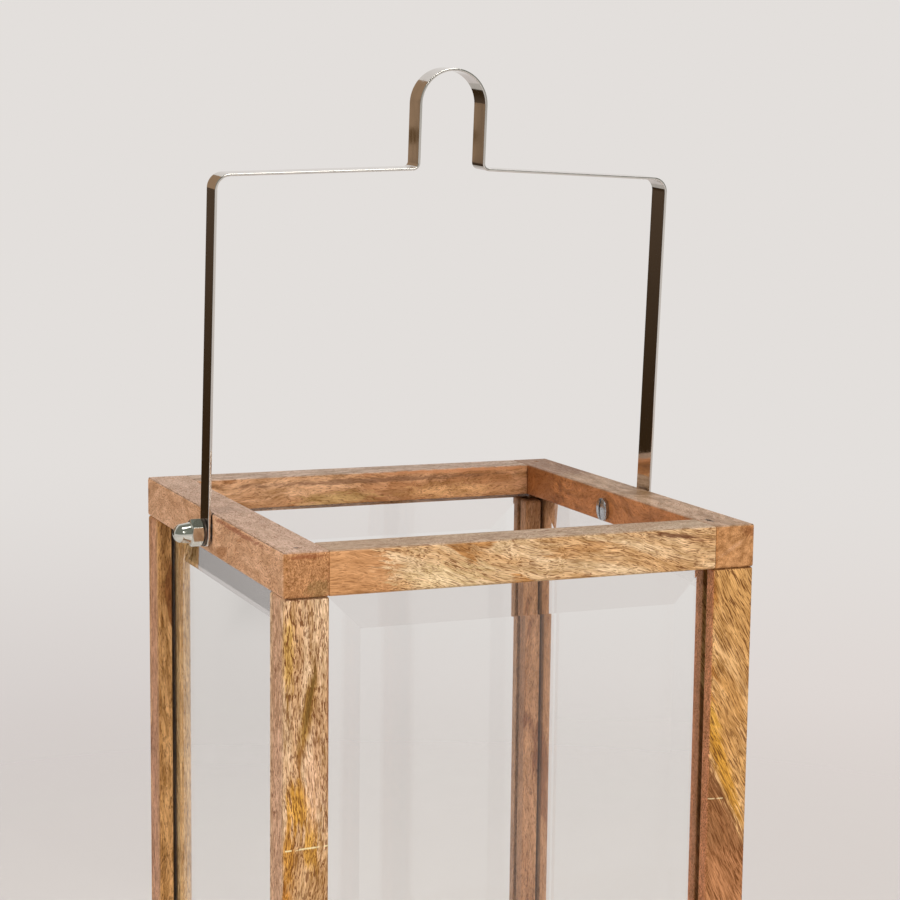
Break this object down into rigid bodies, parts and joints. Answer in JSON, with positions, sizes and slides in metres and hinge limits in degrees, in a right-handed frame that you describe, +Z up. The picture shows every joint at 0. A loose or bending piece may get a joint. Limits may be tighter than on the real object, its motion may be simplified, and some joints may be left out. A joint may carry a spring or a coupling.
{
  "type": "candle lantern",
  "caption": "Square open-topped wooden candle lantern with bevelled glass panes and a flat metal strap handle with a hanging loop.",
  "frame": {"origin": "middle of the face that the lantern stands on", "axes": "+Z up, front towards -Y, +X along the handle's pivot axis to the right"},
  "size_m": [0.2298, 0.2, 0.4823],
  "materials": {
    "side_rail_wood": "oiled, open pored, eased edges",
    "end_rail_wood": "oiled, open pored, eased edges",
    "post_wood": "oiled, open pored, light saw marks",
    "floor_wood": "sanded",
    "dowel_wood": "plain",
    "pane_glass": "clear, polished bevels",
    "strap_nickel": "polished nickel plate",
    "bolt_zinc": "bright zinc plate",
    "washer_steel": "dark plated",
    "nut_chrome": "bright plated",
    "nail_steel": "dark steel"
  },
  "bodies": {
    "body": {"top_left_rail": "side_rail_wood", "top_right_rail": "side_rail_wood", "top_front_rail": "end_rail_wood", "top_back_rail": "end_rail_wood", "base_left_rail": "side_rail_wood", "base_right_rail": "side_rail_wood", "base_front_rail": "end_rail_wood", "base_back_rail": "end_rail_wood", "post_front_left": "post_wood", "post_front_right": "post_wood", "post_back_left": "post_wood", "post_back_right": "post_wood", "floor_board": "floor_wood", "front_glass": "pane_glass", "back_glass": "pane_glass", "left_glass": "pane_glass", "right_glass": "pane_glass", "left_pivot_bolt": "bolt_zinc", "right_pivot_bolt": "bolt_zinc", "left_acorn_nut": "nut_chrome", "right_acorn_nut": "nut_chrome", "left_nut_washer": "washer_steel", "right_nut_washer": "washer_steel", "left_spacer": "bolt_zinc", "right_spacer": "bolt_zinc", "top_nails": "nail_steel", "base_nails": "nail_steel", "top_dowels": "dowel_wood", "base_dowels": "dowel_wood", "floor_screws": "nail_steel"},
    "handle": {"handle": "strap_nickel"}
  },
  "joints": [
    {"name": "handle_pivot", "type": "hinge", "parent": "body", "child": "handle", "pos_m": [0, 0, 0.2913], "axis": [1, 0, 0], "range_deg": [-137.4, 129.6]}
  ]
}
